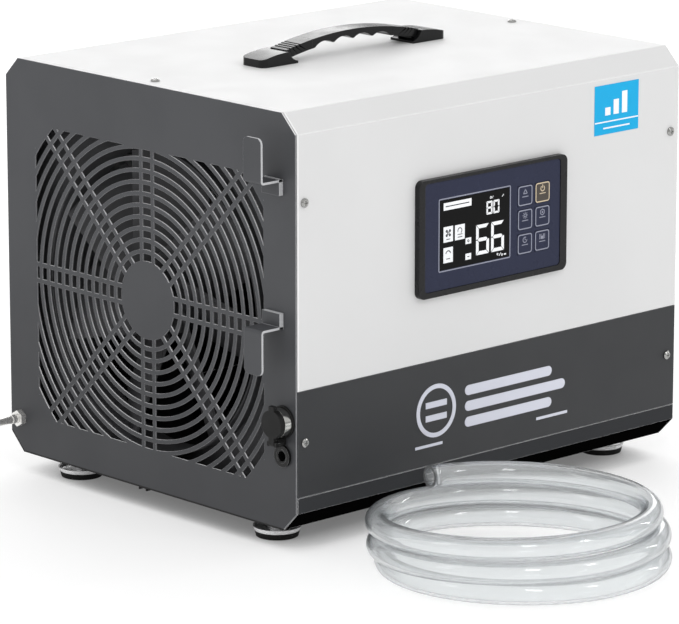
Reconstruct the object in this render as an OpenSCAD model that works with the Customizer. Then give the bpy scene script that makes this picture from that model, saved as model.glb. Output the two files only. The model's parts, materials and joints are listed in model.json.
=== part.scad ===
// Dehumidifier: sheet-metal cabinet on levelling feet, with its fan, compressor,
// coils, pump, control panel, cord hooks and a loose coil of clear drain hose.
// X runs along the front, the front faces -Y, Z is up. The origin is on the
// floor under the middle of the cabinet. Millimetres.

/* [Cabinet] */
// cabinet width, from the outlet end to the intake end
body_w = 442; // [300:1:600]
// cabinet depth, front to back
body_d = 360; // [250:1:500]
// cabinet height, without the feet
body_h = 340; // [250:1:500]
// leg of the 45 degree bevel on the long edges
bevel = 16; // [5:0.5:30]
// sheet thickness
sheet_t = 1.5; // [1:0.1:3]
// height where the dark skirt meets the white cover
skirt_top = 115.3; // [60:0.1:160]
// height where the base pan's side ends
pan_top = 27.9; // [15:0.1:60]
// how far the pan's bottom lies under the level that heights are measured from
pan_drop = 1.6; // [0:0.1:5]
// thickness of the end plates
plate_t = 1.2; // [1:0.1:4]
// open seam between the outlet end plate and the sheets behind it
seam = 0.8; // [0.3:0.1:3]

/* [Feet] */
// height from the floor to the cabinet
foot_h = 19.8; // [10:0.1:40]
// thickness of a rubber pad
pad_h = 5; // [3:0.1:10]
// radius of a foot at its rim
foot_r = 20; // [10:0.5:30]
// distance from the middle to a foot, along X
foot_x = 190.5; // [100:0.5:210]
// distance from the middle to a foot, along Y
foot_y = 124; // [80:0.5:160]

/* [Outlet grille and fan] */
// height of the fan's axis in the cabinet
fan_z = 159.6; // [120:0.1:200]
// radius of the closed disc in the middle of the grille
hub_r = 33; // [20:0.5:50]
// width of a slot
slot_w = 6.1; // [3:0.1:10]
// distance from one slot to the next
slot_pitch = 9.65; // [5:0.05:15]
// number of ring slots
slot_count = 16; // [4:1:20]
// half width of the slotted field
field_y = 142.5; // [80:0.5:170]
// half height of the slotted field
field_z = 126.5; // [80:0.5:150]
// offset of each bar of a spoke pair from the pair's middle line
spoke_off = 7.05; // [4:0.05:12]
// width of a spoke bar
spoke_w = 3.6; // [2:0.1:8]
// radius of the fan's blades
fan_r = 124; // [80:1:140]
// number of blades
blade_count = 7; // [3:1:12]

/* [Carry handle] */
// top of the grip's arch above the lid
grip_rise = 20.4; // [15:0.1:40]
// radius of the arch
grip_arch_r = 320; // [150:1:600]
// thickness of the grip
grip_t = 7.8; // [5:0.1:12]
// half width of the grip
grip_hw = 10; // [6:0.5:18]
// distance from the handle's middle to a cap's outer end
cap_out = 106; // [80:0.5:140]
// half width of an end cap
cap_hw = 14; // [8:0.5:20]
// the handle's middle along X
handle_x = 1.2; // [-20:0.5:20]

/* [Control panel] */
// left edge of the bezel
bezel_x0 = -90; // [-120:0.5:0]
// right edge of the bezel
bezel_x1 = 80.7; // [0:0.1:120]
// lower edge of the bezel
bezel_z0 = 170.2; // [120:0.1:200]
// upper edge of the bezel
bezel_z1 = 268.4; // [220:0.1:320]
// how far the bezel stands off the front
bezel_t = 5.5; // [2:0.1:10]
// side of a square key
key_w = 16.8; // [10:0.1:25]
// how far a key goes in
key_travel = 0.5; // [0.2:0.1:2]

/* [Cord hooks] */
// distance from the end plate to a hook's finger
hook_stand = 23.5; // [15:0.5:40]
// width of a hook
hook_w = 21; // [12:0.5:40]
// length of a finger
hook_len = 35.3; // [20:0.1:60]
// thickness of a hook's foot, where it lies on the plate
hook_foot_t = 4.2; // [2:0.1:8]
// height of a hook's foot
hook_foot_h = 13; // [8:0.5:20]
// height of the upper and of the lower hook's shelf
hook_z = [286.7, 165.1];

/* [Drain hose] */
// outer diameter of the hose
hose_d = 18.5; // [10:0.5:25]
// radius of the coil's middle line
coil_r = 113.25; // [80:0.5:150]
// middle of the coil along X
coil_x = -116.9; // [-200:0.5:0]
// middle of the coil along Y
coil_y = -326.9; // [-400:1:-300]
// turns in the coil
coil_turns = 2.875; // [1:0.01:6]
// height that the coil gains in a turn
coil_pitch = 18.5; // [10:0.1:30]
// turns that lie flat on the floor before the coil climbs
coil_flat = 0.35; // [0:0.05:1]

/* [Hidden] */
$fn = 64;
hw = body_w / 2;
hd = body_d / 2;
fx = -hw;                                  // outer face of the outlet end plate
sheet_x = fx + plate_t + seam;             // where the cover, skirts and pan begin
fy = -hd;                                  // outer face of the front
inner_y = hd - sheet_t;
floor_z = sheet_t;                         // top of the base pan's floor
flange = 18;                               // depth of an end plate's return flange
gap = 0.3;                                 // clearance between sheets that lie together
screw_rows = [268.6, 72.6];                // heights of the cover screws
screw_x = hw - 9.5;
top_screw_x = hw - 15;
key_x = [31.5, 51.8];
key_z = [239.9, 219.7, 199.2];
lcd = [-66.6, 191.3, 13.4, 249.6];         // display: x0, z0, x1, z1
film = [-83.6, 174.9, 73, 265.6];          // panel film: x0, z0, x1, z1
socket_y = -165.5;
socket_z = 89;
gland_z = 60.7;
drain_y = 167;
drain_z = 28;
cap_slope_r = 117;                         // crown of an end cap's top
coil_top = hose_d + (coil_turns - coil_flat) * coil_pitch;
filter_x0 = 186;
filter_x1 = 194;

black = [0.07, 0.07, 0.075];
dark = [0.3, 0.3, 0.32];
white = [0.93, 0.93, 0.93];
chrome = [0.78, 0.78, 0.8];
copper = [0.72, 0.43, 0.27];
alu = [0.75, 0.76, 0.78];

// everything on the cabinet is drawn from the cabinet's own bottom
module lifted() translate([0, 0, foot_h]) children();

// a cylinder along X from x0 to x1
module rod_x(x0, x1, y, z, r) translate([x0, y, z]) rotate([0, 90, 0]) cylinder(h = x1 - x0, r = r);

// a cylinder along Y from y0 to y1
module rod_y(x, y0, y1, z, r) translate([x, y0, z]) rotate([-90, 0, 0]) cylinder(h = y1 - y0, r = r);

// a box given by two corners
module block(a, b) translate(a) cube(b - a);

// the cabinet's outline, drawn inset by t, as an extrusion from x0 to x1
module outline(x0, x1, t) {
  leg = bevel - 0.586 * t;
  y = hd - t;
  lo = t == 0 ? -pan_drop : t;
  hi = body_h - t;
  translate([x0, 0, 0]) rotate([90, 0, 90]) linear_extrude(x1 - x0)
    polygon([[-y + leg, lo], [y - leg, lo], [y, lo + leg], [y, hi - leg],
             [y - leg, hi], [-y + leg, hi], [-y, hi - leg], [-y, lo + leg]]);
}

// a sheet that follows the outline, between two insets
module sheet_ring(x0, x1, t0, t1) difference() {
  outline(x0, x1, t0);
  outline(x0 - 1, x1 + 1, t1);
}

// a plate on the front with round corners, between two depths
module front_plate(x0, z0, x1, z1, r, y0, y1) {
  block([x0 + r, y0, z0], [x1 - r, y1, z1]);
  block([x0, y0, z0 + r], [x1, y1, z1 - r]);
  for (x = [x0 + r, x1 - r], z = [z0 + r, z1 - r]) rod_y(x, y0, y1, z, r);
}

// every cover screw's hole, through front, back and top
module screw_holes(r) {
  for (s = [-1, 1], z = screw_rows) {
    rod_y(s * screw_x, -hd - 5, -hd + 8, z, r);
    rod_y(s * screw_x, hd - 8, hd + 5, z, r);
  }
  for (s = [-1, 1]) translate([s * top_screw_x, 5, body_h - 8]) cylinder(h = 13, r = r);
  for (s = [-1, 1], y = [-60, 60]) translate([s * screw_x, y, -5]) cylinder(h = 13, r = r);
}

// ---- cabinet -------------------------------------------------------------

module base_pan() color(dark) lifted() difference() {
  intersection() {
    sheet_ring(sheet_x, hw, 0, sheet_t);
    block([-hw, -hd, -pan_drop], [hw, hd, pan_top - 0.4]);
  }
  for (x = [-foot_x, foot_x], y = [-foot_y, foot_y])
    translate([x, y, -5]) cylinder(h = 9, r = 4.4);
  screw_holes(2.3);
}

module lower_skirts() color(dark) lifted() difference() {
  for (s = [-1, 1])
    block([sheet_x, min(s * hd, s * inner_y), pan_top],
          [hw, max(s * hd, s * inner_y), skirt_top]);
  screw_holes(2.3);
  filter_slot();
}

module top_cover() color(white) lifted() difference() {
  intersection() {
    sheet_ring(sheet_x, hw, 0, sheet_t);
    block([-hw, -hd, skirt_top + 0.3], [hw, hd, body_h]);
  }
  block([-74, fy - 1, 185], [66, fy + 3, 255]);
  screw_holes(2.3);
  filter_slot();
}

module filter_slot() block([filter_x0 - 1, hd - 4, 31], [filter_x1 + 1, hd + 4, 303]);

// the ring slots of the outlet, cut by eight pairs of spoke bars
module guard_slots() intersection() {
  translate([fx - 1, 0, fan_z]) rotate([90, 0, 90]) linear_extrude(plate_t + 2)
    polygon([[-field_y + 20, -field_z], [field_y - 20, -field_z], [field_y, -field_z + 20],
             [field_y, field_z - 20], [field_y - 20, field_z], [-field_y + 20, field_z],
             [-field_y, field_z - 20], [-field_y, -field_z + 20]]);
  difference() {
    for (k = [0:slot_count - 1]) {
      r = hub_r + k * slot_pitch;
      difference() {
        rod_x(fx - 2, fx + plate_t + 2, 0, fan_z, r + slot_w);
        rod_x(fx - 3, fx + plate_t + 3, 0, fan_z, r);
      }
    }
    for (a = [0:45:135], s = [-1, 1]) translate([fx, 0, fan_z]) rotate([a, 0, 0])
      block([-4, s * spoke_off - spoke_w / 2, -220], [plate_t + 4, s * spoke_off + spoke_w / 2, 220]);
  }
}

module fan_guard_plate() color(dark) lifted() difference() {
  union() {
    outline(fx, fx + plate_t, 0);
    sheet_ring(fx + plate_t, fx + flange, sheet_t + gap, 2 * sheet_t + gap);
  }
  guard_slots();
  rod_x(fx - 1, fx + plate_t + 1, socket_y, socket_z, 9.5);
  rod_x(fx - 1, fx + plate_t + 1, socket_y, gland_z, 7.8);
  rod_x(fx - 1, fx + plate_t + 1, drain_y, drain_z, 4.4);
  for (z = hook_pins) rod_x(fx - 1, fx + plate_t + 1, hook_y, z, 2.1);
  screw_holes(2.1);
}

module intake_plate() color(dark) lifted() difference() {
  union() {
    outline(hw - 2 * plate_t, hw - plate_t, sheet_t + gap);
    sheet_ring(hw - plate_t - flange, hw - 2 * plate_t, sheet_t + gap, 2 * sheet_t + gap);
    // rails that the filter slides in
    for (z = [27, 305.5]) block([filter_x0 - 3, -172, z], [hw - 2 * plate_t, 168, z + 1.5]);
    for (z = [28.5, 301.5]) block([filter_x0 - 3, -172, z], [filter_x0 - 1.5, 168, z + 4]);
  }
  for (z = [60:9:276], y = [-125, 5]) block([hw - 6, y, z], [hw, y + 120, z + 5]);
  screw_holes(2.1);
}

// one pan-head screw with a cross recess, its head towards +Z
module pan_screw() difference() {
  union() {
    cylinder(h = 1.2, r = 3.75);
    translate([0, 0, 1.2]) cylinder(h = 0.9, r1 = 3.75, r2 = 2.6);
    translate([0, 0, -7]) cylinder(h = 7, r = 1.9);
  }
  for (a = [0, 90]) rotate([0, 0, a]) translate([-2, -0.4, 1.2]) cube([4, 0.8, 2]);
}

module cover_screws() color(chrome) lifted() {
  for (s = [-1, 1], z = screw_rows) {
    translate([s * screw_x, -hd, z]) rotate([90, 0, 0]) pan_screw();
    translate([s * screw_x, hd, z]) rotate([-90, 0, 0]) pan_screw();
  }
  for (s = [-1, 1]) translate([s * top_screw_x, 5, body_h]) pan_screw();
  for (s = [-1, 1], y = [-60, 60]) translate([s * screw_x, y, -pan_drop]) rotate([180, 0, 0]) pan_screw();
}

// ---- carry handle --------------------------------------------------------

// the arched band of the grip, between two distances from the middle
module arch_band(x0, x1) intersection() {
  difference() {
    rod_y(0, -grip_hw, grip_hw, grip_rise - grip_arch_r, grip_arch_r, $fn = 360);
    rod_y(0, -grip_hw - 1, grip_hw + 1, grip_rise - grip_arch_r, grip_arch_r - grip_t, $fn = 360);
  }
  block([x0, -grip_hw - 1, 0.5], [x1, grip_hw + 1, grip_rise + 1]);
}

module on_lid() translate([handle_x, 0, body_h + foot_h]) children();

module handle_grip() color(black) on_lid() difference() {
  arch_band(-46, 46);
  for (x = [-32, -10.7, 10.7, 32])
    rod_y(x, -grip_hw - 1, grip_hw + 1, grip_rise - grip_t - x * x / 640 + 3.3 - 16.8, 16.8);
}

// ribbed end of the grip and the tongue that slides in its cap, for the +X end
module handle_link() difference() {
  union() {
    intersection() {
      arch_band(46, 78);
      union() {
        block([45, -20, 0], [64.5, 20, 30]);
        rod_y(64.5, -20, 20, 14.5, 12.1);
      }
    }
    block([70, -8, 3.4], [94, 8, 5.2]);
  }
  for (x = [61, 64.7, 68.4, 72.1])
    rod_y(x, -grip_hw - 1, grip_hw + 1, grip_rise + 0.2 - x * x / 640, 0.8);
}

// wedge-shaped end cap for the +X end, hollow for the tongue
module handle_cap() difference() {
  intersection() {
    union() {
      block([66.5, -cap_hw, 0], [cap_out - 6, cap_hw, 12]);
      block([66.5, -cap_hw + 6, 0], [cap_out, cap_hw - 6, 12]);
      for (s = [-1, 1]) translate([cap_out - 6, s * (cap_hw - 6), 0]) cylinder(h = 12, r = 6);
    }
    rod_y(75.1, -20, 20, 10.6 - cap_slope_r, cap_slope_r, $fn = 180);
  }
  rod_y(64.5, -20, 20, 14.5, 12.6);
  block([60, -8.5, 2.9], [97, 8.5, 5.7]);
}

module handle_cap_left() color(black) on_lid() mirror([1, 0, 0]) handle_cap();
module handle_cap_right() color(black) on_lid() handle_cap();
module handle_link_left() color(black) on_lid() mirror([1, 0, 0]) handle_link();
module handle_link_right() color(black) on_lid() handle_link();

// ---- cord hooks ----------------------------------------------------------

hook_y = -155.2;
hook_pins = [hook_z[0] - 7, hook_z[1] + 7];

// a Z-shaped bracket with a thick foot, whose shelf's outer face is at height z;
// dir is 1 for a finger that points up
module cord_hook(z, dir) {
  y0 = hook_y - hook_w / 2;
  y1 = hook_y + hook_w / 2;
  x1 = fx - hook_stand;
  r = 5;
  translate([0, 0, z]) scale([1, 1, dir]) difference() {
    union() {
      block([fx - hook_foot_t, y0, -hook_foot_h], [fx, y1, 0]);
      block([x1, y0, -2], [fx, y1, 0]);
      block([x1, y0, -2], [x1 + 2, y1, hook_len - r]);
      block([x1, y0 + r, -2], [x1 + 2, y1 - r, hook_len]);
      for (y = [y0 + r, y1 - r]) rod_x(x1, x1 + 2, y, hook_len - r, r);
    }
    rod_x(fx - 3.2, fx + 1, hook_y, -7, 2.1);
  }
}

module cord_hook_upper() color(dark) lifted() cord_hook(hook_z[0], 1);
module cord_hook_lower() color(dark) lifted() cord_hook(hook_z[1], -1);

// rivets set from inside the end plate
module hook_rivets() color(dark) lifted() for (z = hook_pins) {
  rod_x(fx + plate_t, fx + plate_t + 1.4, hook_y, z, 3.4);
  rod_x(fx - 3, fx + plate_t + 1, hook_y, z, 1.9);
}

// ---- drain, socket and cord inlet ----------------------------------------

module drain_spigot() color(chrome) lifted() difference() {
  union() {
    rod_x(fx - 29, fx + 20, drain_y, drain_z, 3.3);
    rod_x(fx - 11, fx + 20, drain_y, drain_z, 3.9);
  }
  rod_x(fx - 30, fx + 21, drain_y, drain_z, 2.4);
}

module drain_nut() color(chrome) lifted() difference() {
  rod_x(fx - 5, fx, drain_y, drain_z, 7.2, $fn = 6);
  rod_x(fx - 6, fx + 1, drain_y, drain_z, 4);
}

module socket_shell() color(chrome) lifted() difference() {
  union() {
    rod_x(fx - 9, fx, socket_y, socket_z, 12);
    rod_x(fx - 1, fx + 14, socket_y, socket_z, 9.3);
  }
  rod_x(fx - 10, fx + 10, socket_y, socket_z, 8.6);
}

cap_x0 = fx - 13.6;
cap_x1 = fx - 9.3;
cap_pin_x = fx - 11.7;
cap_pin_z = socket_z - 16.4;

// screw-on style cap with a grip tab, on a tail that turns on the strap's pin
module socket_cap() color(black) lifted() difference() {
  union() {
    rod_x(cap_x0, cap_x1, socket_y, socket_z, 11.5);
    rod_x(cap_x1 - 0.1, cap_x1 + 3, socket_y, socket_z, 7.5);
    block([cap_x0, socket_y - 3, socket_z + 8], [cap_x1 - 0.5, socket_y + 3, socket_z + 14.8]);
    block([cap_x0, socket_y - 3, cap_pin_z], [cap_x1 - 0.5, socket_y + 3, socket_z - 8]);
    rod_y(cap_pin_x, socket_y - 3, socket_y + 3, cap_pin_z, 1.9);
  }
  rod_y(cap_pin_x, socket_y - 4, socket_y + 4, cap_pin_z, 0.95);
}

module cap_strap() color(black) lifted() difference() {
  union() {
    rod_x(fx - 1.5, fx, socket_y, socket_z, 13.3);
    block([fx - 9, socket_y - 3, socket_z - 18.5], [fx, socket_y + 3, socket_z - 12.7]);
    block([fx - 9, socket_y - 5.3, cap_pin_z - 1.9], [fx - 5, socket_y + 5.3, cap_pin_z + 1.9]);
    // ears and the pin that the cap turns on
    for (s = [-1, 1]) block([cap_x0 + 0.3, socket_y + min(s * 3.3, s * 5.3), cap_pin_z - 1.9],
                            [fx - 8.9, socket_y + max(s * 3.3, s * 5.3), cap_pin_z + 1.9]);
    rod_y(cap_pin_x, socket_y - 5.3, socket_y + 5.3, cap_pin_z, 0.9);
  }
  rod_x(fx - 10, fx, socket_y, socket_z, 12.1);
}

module gland_body() color(black) lifted() difference() {
  union() {
    rod_x(fx - 2.5, fx, socket_y, gland_z, 9);
    rod_x(fx - 1, fx + 14, socket_y, gland_z, 7.5);
  }
  rod_x(fx - 4, fx + 15, socket_y, gland_z, 5.8);
}

module gland_sleeve() color(chrome) lifted() difference() {
  rod_x(fx - 2.2, fx + 13, socket_y, gland_z, 5.7);
  rod_x(fx - 4, fx + 15, socket_y, gland_z, 4.5);
}

// ---- feet ----------------------------------------------------------------

module foot_at(sx, sy) translate([sx * foot_x, sy * foot_y, 0]) children();

module foot_cup() {
  h = pad_h;
  top = foot_h - pan_drop;
  rotate_extrude() polygon([[0, h], [foot_r - 1.2, h], [foot_r, h + 3.5], [foot_r - 1.4, h + 3.5],
    [foot_r - 2.6, h + 1.4], [7, h + 1.4], [7, top], [4, top], [4, foot_h + 21], [0, foot_h + 21]]);
}

module foot_pad() rotate_extrude()
  polygon([[0, 0], [foot_r - 2.6, 0], [foot_r - 1.2, pad_h], [0, pad_h]]);

module foot_cup_fl() color(chrome) foot_at(-1, -1) foot_cup();
module foot_cup_fr() color(chrome) foot_at(1, -1) foot_cup();
module foot_cup_rl() color(chrome) foot_at(-1, 1) foot_cup();
module foot_cup_rr() color(chrome) foot_at(1, 1) foot_cup();
module foot_pad_fl() color(black) foot_at(-1, -1) foot_pad();
module foot_pad_fr() color(black) foot_at(1, -1) foot_pad();
module foot_pad_rl() color(black) foot_at(-1, 1) foot_pad();
module foot_pad_rr() color(black) foot_at(1, 1) foot_pad();

module foot_nuts() color(chrome) lifted() for (x = [-foot_x, foot_x], y = [-foot_y, foot_y])
  translate([x, y, floor_z]) difference() {
    cylinder(h = 7, r = 7.5, $fn = 6);
    translate([0, 0, -1]) cylinder(h = 9, r = 4.05);
  }

// ---- control panel -------------------------------------------------------

// holes for the keys, each larger than its key by c all round
module key_holes(c, y0, y1) for (x = key_x, z = key_z)
  block([x - key_w / 2 - c, y0, z - key_w / 2 - c], [x + key_w / 2 + c, y1, z + key_w / 2 + c]);

module panel_bezel() color(black) lifted() difference() {
  front_plate(bezel_x0, bezel_z0, bezel_x1, bezel_z1, 6, fy - bezel_t, fy);
  front_plate(film[0], film[1], film[2], film[3], 3.5, fy - bezel_t - 1, fy - 3.4);
  block([lcd[0], fy - 6, lcd[1]], [lcd[2], fy + 1, lcd[3]]);
  key_holes(0.3, fy - 6, fy + 1);
}

module panel_film() color([0.24, 0.27, 0.34]) lifted() difference() {
  front_plate(film[0] + 0.2, film[1] + 0.2, film[2] - 0.2, film[3] - 0.2, 3.3, fy - 4.9, fy - 3.4);
  block([lcd[0], fy - 6, lcd[1]], [lcd[2], fy, lcd[3]]);
  key_holes(0.3, fy - 6, fy);
}

module display() color([0.03, 0.03, 0.03]) lifted()
  block([lcd[0] + 0.2, fy - 4.9, lcd[1] + 0.2], [lcd[2] - 0.2, fy + 3.8, lcd[3] - 0.2]);

module key(i) color([0.24, 0.27, 0.34]) lifted() {
  x = key_x[i % 2];
  z = key_z[floor(i / 2)];
  block([x - key_w / 2, fy - 5.2, z - key_w / 2], [x + key_w / 2, fy - 1, z + key_w / 2]);
  rod_y(x, fy - 1.1, fy + 3, z, 3);
}

module panel_board() color([0.1, 0.3, 0.16]) lifted() block([-79, fy + 4, 178], [71, fy + 5.6, 262]);

module rating_label() color([0.1, 0.55, 0.8]) lifted()
  block([118, fy - 0.3, 276.9], [171.3, fy, 319]);

// a ring with two bars in it, beside three longer bars
module emblem() color([0.82, 0.84, 0.87]) lifted() difference() {
  x = -65;
  z = 73;
  union() {
    rod_y(x, fy - 0.4, fy, z, 22.5);
    for (i = [0:2]) front_plate(-32, 52.5 + i * 13.5, 86 - 16 * abs(i - 1), 61 + i * 13.5, 4.2, fy - 0.4, fy);
  }
  difference() {
    rod_y(x, fy - 1, fy + 1, z, 18.7);
    for (dz = [-5.6, 5.6]) block([x - 12, fy - 2, z + dz - 2.6], [x + 12, fy + 2, z + dz + 2.6]);
  }
}

// ---- fan -----------------------------------------------------------------

shroud_x = fx + 23;

module fan_shroud() color(dark) lifted() difference() {
  union() {
    outline(shroud_x, shroud_x + 1.5, sheet_t + 0.7);
    rod_x(fx + 5, shroud_x + 16, 0, fan_z, fan_r + 5.5, $fn = 128);
  }
  rod_x(fx, shroud_x + 20, 0, fan_z, fan_r + 4, $fn = 128);
  // ways past the foot nuts and the drain tube
  for (y = [-foot_y, foot_y]) block([shroud_x - 1, y - 9, 0], [shroud_x + 3, y + 9, 10]);
  rod_x(shroud_x - 1, shroud_x + 3, drain_y, drain_z, 4.9);
}

module motor_bracket() color(alu) lifted() difference() {
  union() {
    block([fx + 112, -150, fan_z - 20], [fx + 115, 150, fan_z + 20]);
    for (s = [-1, 1]) block([shroud_x + 1.5, min(s * 150, s * 147), fan_z - 20],
                            [fx + 115, max(s * 150, s * 147), fan_z + 20]);
  }
  for (y = [-30, 30]) rod_x(fx + 110, fx + 120, y, fan_z, 2.5);
}

module fan_motor() color(black) lifted() difference() {
  union() {
    rod_x(fx + 56, fx + 112, 0, fan_z, 46);
    rod_x(fx + 53, fx + 56, 0, fan_z, 16);
  }
  rod_x(fx + 52, fx + 90, 0, fan_z, 6.05);
}

module fan_rotor() color([0.16, 0.16, 0.17]) lifted() {
  rod_x(fx + 14, fx + 40, 0, fan_z, 32);
  rod_x(fx + 39, fx + 88, 0, fan_z, 6);
  intersection() {
    for (i = [0:blade_count - 1]) translate([fx + 27, 0, fan_z]) rotate([i * 360 / blade_count, 0, 0])
      rotate([0, 0, 32]) block([-1.1, -33, 20], [1.1, 33, fan_r + 20]);
    rod_x(fx + 5, fx + 50, 0, fan_z, fan_r, $fn = 128);
  }
}

// ---- refrigeration -------------------------------------------------------

comp = [10, 62];

module compressor_shell() color(black) lifted() translate([comp[0], comp[1], 0]) difference() {
  union() {
    translate([0, 0, 15]) cylinder(h = 100, r = 57);
    translate([0, 0, 110]) cylinder(h = 5, r = 60);
    for (a = [30:120:270]) rotate([0, 0, a]) block([0, -14, 12], [84, 14, 15]);
    translate([0, 0, 12]) cylinder(h = 4, r = 50);
  }
  translate([0, 0, 40]) cylinder(h = 100, r = 40);
  for (a = [30:120:270]) rotate([0, 0, a]) translate([74, 0, 10]) cylinder(h = 8, r = 4.5);
}

module compressor_lid() color(black) lifted() translate([comp[0], comp[1], 115]) rotate_extrude()
  polygon(concat([[60, 0], [60, 5], [57, 5], [57, 20]],
    [for (a = [0:10:90]) [35 + 22 * cos(a), 20 + 40 * sin(a)]],
    [[0, 60], [0, 56]],
    [for (a = [90:-10:0]) [35 + 18.5 * cos(a), 20 + 36 * sin(a)]],
    [[53.5, 20], [53.5, 0]]));

module compressor_grommets() color(black) lifted() translate([comp[0], comp[1], 0])
  for (a = [30:120:270]) rotate([0, 0, a]) translate([74, 0, 0]) {
    translate([0, 0, floor_z]) cylinder(h = 12 - floor_z, r = 11);
    translate([0, 0, 11]) cylinder(h = 7, r = 4.2);
  }

// plates threaded on a row of tubes with square return bends, from x0 to x1
module finned_coil(x0, x1, z0, z1, rows, tube_r) {
  xm = (x0 + x1) / 2;
  pitch = (z1 - z0) / rows;
  for (i = [0:14]) block([x0, -140.5 + 20 * i, z0], [x1, -139.5 + 20 * i, z1]);
  for (j = [0:rows - 1]) rod_y(xm, -150, 150, z0 + (j + 0.5) * pitch, tube_r);
  for (j = [0:rows - 2]) {
    y = (j % 2 == 0 ? 1 : -1) * 150;
    for (k = [0.5, 1.5]) translate([xm, y, z0 + (j + k) * pitch]) sphere(r = tube_r);
    translate([xm, y, z0 + (j + 0.5) * pitch]) cylinder(h = pitch, r = tube_r);
  }
}

module evaporator() color(alu) lifted() finned_coil(140, 172, 36, 306, 7, 4.8);
module condenser() color(copper) lifted() finned_coil(96, 128, 36, 306, 7, 4.8);

// a pipe whose runs each follow one axis, with ball joints
module pipe(points, r) {
  for (i = [0:len(points) - 2]) {
    a = points[i];
    d = points[i + 1] - a;
    low = [for (k = [0:2]) min(a[k], points[i + 1][k])];
    if (d[0] != 0) rod_x(low[0], low[0] + abs(d[0]), a[1], a[2], r);
    if (d[1] != 0) rod_y(a[0], low[1], low[1] + abs(d[1]), a[2], r);
    if (d[2] != 0) translate(low) cylinder(h = abs(d[2]), r = r);
  }
  for (i = [1:len(points) - 2]) translate(points[i]) sphere(r = r);
}

module refrigerant_lines() color(copper) lifted() {
  pipe([[comp[0] + 15, comp[1], 176], [comp[0] + 15, comp[1], 250], [comp[0] + 15, 166, 250],
        [112, 166, 250]], 4);
  pipe([[comp[0] - 15, comp[1], 176], [comp[0] - 15, comp[1], 318], [156, comp[1], 318],
        [156, 166, 318], [156, 166, 290]], 5);
}

// ---- water ---------------------------------------------------------------

module drip_tray() color([0.2, 0.2, 0.21]) lifted() difference() {
  block([90, -158, 12], [180, 158, 28]);
  block([91.5, -156.5, 13.5], [178.5, 156.5, 29]);
}

module condensate_pump() color([0.2, 0.2, 0.22]) lifted() {
  block([-150, 100, floor_z], [-85, 158, 62]);
  translate([-118, 129, 62]) cylinder(h = 34, r = 22);
  rod_x(-158, -149, 145, 40, 4);
}

module pump_tube() color([0.8, 0.8, 0.82]) lifted()
  pipe([[-158.3, 145, 40], [-180, 145, 40], [-180, 167, 40], [-180, 167, 28], [-199.7, 167, 28]], 4.4);

module filter_frame() color(black) lifted() difference() {
  union() {
    block([filter_x0, -166, 32], [filter_x1, 176, 301]);
    block([filter_x0, 170, 32], [filter_x1, hd + 1.5, 301]);
    block([filter_x0 - 4, hd + 1.5, 140], [filter_x1 + 4, hd + 3, 190]);
    block([filter_x0 + 3, hd + 1.5, 150], [filter_x1 - 3, hd + 14, 180]);
  }
  block([filter_x0 - 1, -156, 42], [filter_x1 + 1, 166, 291]);
}

module filter_mesh() color([0.8, 0.82, 0.84]) lifted()
  block([filter_x0 + 2.5, -155.9, 42.1], [filter_x1 - 2.5, 165.9, 290.9]);

// ---- electrics and underside ---------------------------------------------

module control_box() color(dark) lifted() difference() {
  block([-104, -171, 130], [90, -120, 310]);
  block([-102.8, -172, 131.2], [88.8, -121.2, 308.8]);
}

module base_channel() color(black) lifted() block([sheet_x, 6, -6 - pan_drop], [60, 40, -pan_drop]);

// ---- loose drain hose ----------------------------------------------------

module drain_hose_coil() color([0.85, 0.9, 0.93, 0.6]) translate([coil_x, coil_y, 0])
  rotate_extrude($fn = 96) {
    lo = coil_r - hose_d / 2 - 22;
    hi = coil_r + hose_d / 2 + 4.5;
    c = 5;
    polygon([[lo + c, 0], [hi - c, 0], [hi, c], [hi, coil_top - c], [hi - c, coil_top],
             [lo + c, coil_top], [lo, coil_top - c], [lo, c]]);
  }

base_pan();
lower_skirts();
top_cover();
fan_guard_plate();
intake_plate();
cover_screws();
handle_cap_left();
handle_cap_right();
handle_grip();
handle_link_left();
handle_link_right();
cord_hook_upper();
cord_hook_lower();
hook_rivets();
drain_spigot();
drain_nut();
socket_shell();
socket_cap();
cap_strap();
gland_body();
gland_sleeve();
foot_cup_fl();
foot_cup_fr();
foot_cup_rl();
foot_cup_rr();
foot_pad_fl();
foot_pad_fr();
foot_pad_rl();
foot_pad_rr();
foot_nuts();
panel_bezel();
panel_film();
display();
key(0);  // key_1
key(1);  // key_2
key(2);  // key_3
key(3);  // key_4
key(4);  // key_5
key(5);  // key_6
panel_board();
rating_label();
emblem();
fan_shroud();
motor_bracket();
fan_motor();
fan_rotor();
compressor_shell();
compressor_lid();
compressor_grommets();
evaporator();
condenser();
refrigerant_lines();
drip_tray();
condensate_pump();
pump_tube();
filter_frame();
filter_mesh();
control_box();
base_channel();
drain_hose_coil();
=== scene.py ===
"""Looks for the dehumidifier: camera, hose, pieces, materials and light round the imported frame."""
import json
import math

import bpy
from mathutils import Matrix, Vector


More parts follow.
